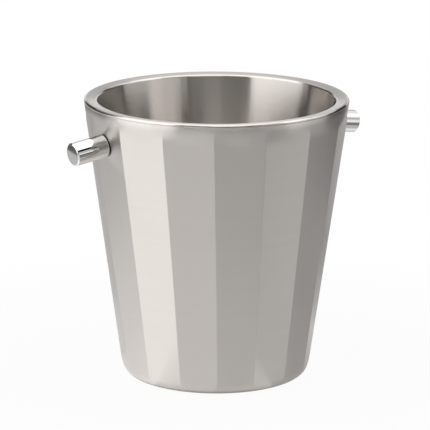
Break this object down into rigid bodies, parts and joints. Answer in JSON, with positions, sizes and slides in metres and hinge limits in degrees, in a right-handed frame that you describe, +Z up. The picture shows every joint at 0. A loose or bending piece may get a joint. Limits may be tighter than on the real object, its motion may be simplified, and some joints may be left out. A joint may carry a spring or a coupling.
{
  "type": "ice bucket",
  "caption": "Double-walled metal ice bucket with a flat-sided tapered shell, a smooth drawn liner with a rolled rim, and a solid round knob on each side to lift it by.",
  "frame": {"origin": "on the floor, at the centre of the bucket's foot", "axes": "+Z up along the bucket's axis; +X towards the right knob, square to the flat that the knob is on; +Y to the back"},
  "size_m": [0.247, 0.1996, 0.214],
  "materials": {
    "satin_shell": "stainless sheet, fine satin brushing round the bucket",
    "satin_liner": "stainless sheet, fine satin brushing round the inside and the rim",
    "plain_steel": "stainless sheet as rolled, dull",
    "fastener_steel": "plain stainless fasteners",
    "polished_knob": "solid stainless bar, turned and polished",
    "seal_rubber": "black rubber",
    "pad_silicone": "dark grey silicone, matt"
  },
  "bodies": {
    "root": {"outer_shell": "satin_shell", "inner_liner": "satin_liner", "base_plate": "plain_steel", "base_pad": "pad_silicone", "knob_left": "polished_knob", "knob_gasket_left": "seal_rubber", "backing_plate_left": "plain_steel", "spring_washer_left": "fastener_steel", "screw_left": "fastener_steel", "knob_right": "polished_knob", "knob_gasket_right": "seal_rubber", "backing_plate_right": "plain_steel", "spring_washer_right": "fastener_steel", "screw_right": "fastener_steel"}
  },
  "joints": []
}
